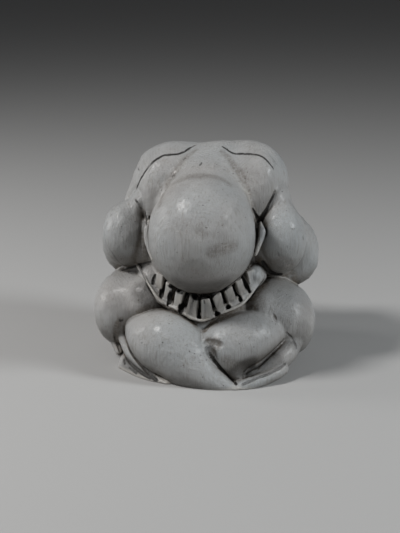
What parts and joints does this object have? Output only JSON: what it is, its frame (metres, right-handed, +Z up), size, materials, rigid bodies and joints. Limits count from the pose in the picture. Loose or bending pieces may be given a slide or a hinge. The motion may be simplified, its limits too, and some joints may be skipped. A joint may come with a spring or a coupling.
{
  "type": "weeping buddha figurine",
  "caption": "Small carved wooden figure of a seated man, crouched with his head bowed into both hands and his shins crossed in front, resting on a flat underside.",
  "frame": {"origin": "middle of the figure's box, at the surface it rests on", "axes": "+Z up, -Y out of the front, where the head and the crossed shins are, +X to the viewer's right when the front is seen"},
  "size_m": [0.1028, 0.0928, 0.0997],
  "materials": {
    "carving": "thin off-white wash over wood, worn satin, brown in the recesses"
  },
  "bodies": {
    "root": {"figure": "carving"}
  },
  "joints": []
}
